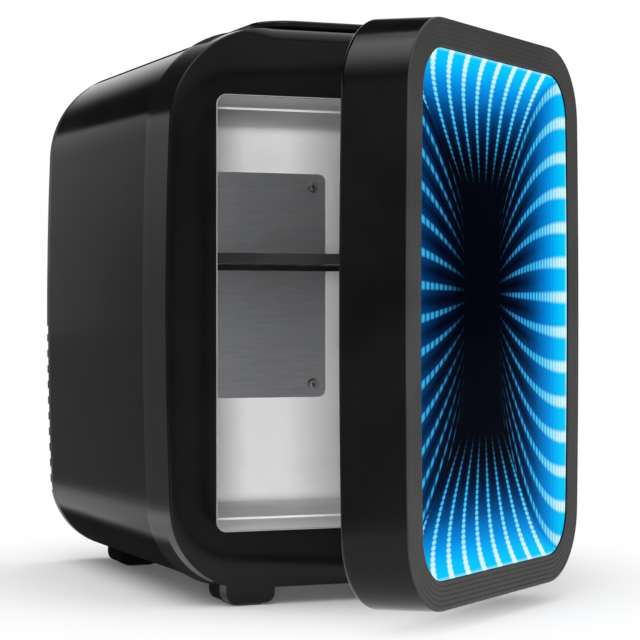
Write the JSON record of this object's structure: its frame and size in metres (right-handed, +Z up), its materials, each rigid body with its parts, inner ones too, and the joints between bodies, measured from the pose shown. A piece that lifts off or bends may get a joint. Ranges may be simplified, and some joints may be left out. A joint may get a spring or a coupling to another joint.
{
  "type": "mini fridge",
  "caption": "Countertop thermoelectric mini fridge with a rounded black cabinet, fixed shelf, folding carry handle and a hinged door whose front is a lit infinity mirror.",
  "frame": {"origin": "on the floor, midway between the sides, on the plane of the cabinet's front face", "axes": "+Z up, -Y out of the front, +X to the right as seen from the front"},
  "size_m": [0.1996, 0.3588, 0.2731],
  "materials": {
    "black_gloss": "gloss",
    "black_satin": "satin",
    "black_matte": "matte",
    "liner_white": "satin",
    "foam": "matte",
    "smoke_plastic": "gloss",
    "aluminium": "satin",
    "module_ceramic": "matte",
    "steel": "satin",
    "dark_steel": "satin",
    "brass": "satin",
    "board_green": "satin",
    "transformer_tape": "satin",
    "capacitor_sleeve": "gloss",
    "rubber": "matte",
    "gasket_rubber": "matte",
    "two_way_glass": "polished",
    "mirror_silver": "polished",
    "strip_film": "satin",
    "led_light": "gloss",
    "magnet_black": "matte"
  },
  "bodies": {
    "cabinet": {"front_frame": "black_gloss", "rear_shell": "black_gloss", "rear_cover": "black_satin", "inner_liner": "liner_white", "insulation_foam": "foam", "shelf": "smoke_plastic", "cold_plate": "aluminium", "cold_plate_screws": "steel", "cold_block": "aluminium", "peltier_module": "module_ceramic", "rear_bulkhead": "black_matte", "rear_cover_screws": "dark_steel", "heat_sink": "aluminium", "fan_frame": "black_matte", "fan_screws": "steel", "board_standoffs": "brass", "power_board": "board_green", "transformer": "transformer_tape", "capacitors": "capacitor_sleeve", "ac_inlet": "black_matte", "ac_inlet_pins": "steel", "dc_inlet": "black_matte", "dc_inlet_pin": "steel", "switch_housing": "black_matte", "foot_pads": "rubber", "handle_pins": "steel", "hinge_bracket_lower": "steel", "hinge_bracket_upper": "steel", "hinge_pins": "steel", "hinge_screws": "steel", "strike_plates": "steel"},
    "fan": {"fan_rotor": "black_matte", "fan_axle": "steel"},
    "mode_switch": {"switch_rocker": "black_satin"},
    "handle": {"carry_handle": "black_gloss"},
    "door": {"door_frame": "black_gloss", "two_way_mirror": "two_way_glass", "mirror_spacer": "black_matte", "back_mirror": "mirror_silver", "led_strip": "strip_film", "led_chips": "led_light", "door_insulation": "foam", "door_liner": "liner_white", "door_gasket": "gasket_rubber", "led_driver_board": "board_green", "door_magnets": "magnet_black", "door_screws": "steel"}
  },
  "joints": [
    {"name": "door_hinge", "type": "hinge", "parent": "cabinet", "child": "door", "pos_m": [0.0865, -0.0065, 0.1338], "axis": [0, 0, 1], "range_deg": [-39, 57]},
    {"name": "handle_pivot", "type": "hinge", "parent": "cabinet", "child": "handle", "pos_m": [0, 0.104, 0.2707], "axis": [-1, 0, 0], "range_deg": [0, 95]},
    {"name": "fan_spin", "type": "hinge", "parent": "cabinet", "child": "fan", "pos_m": [0, 0.1965, 0.15], "axis": [0, 1, 0], "continuous": true},
    {"name": "mode_switch_tilt", "type": "hinge", "parent": "cabinet", "child": "mode_switch", "pos_m": [0.034, 0.213, 0.066], "axis": [1, 0, 0], "range_deg": [-10, 10]}
  ]
}
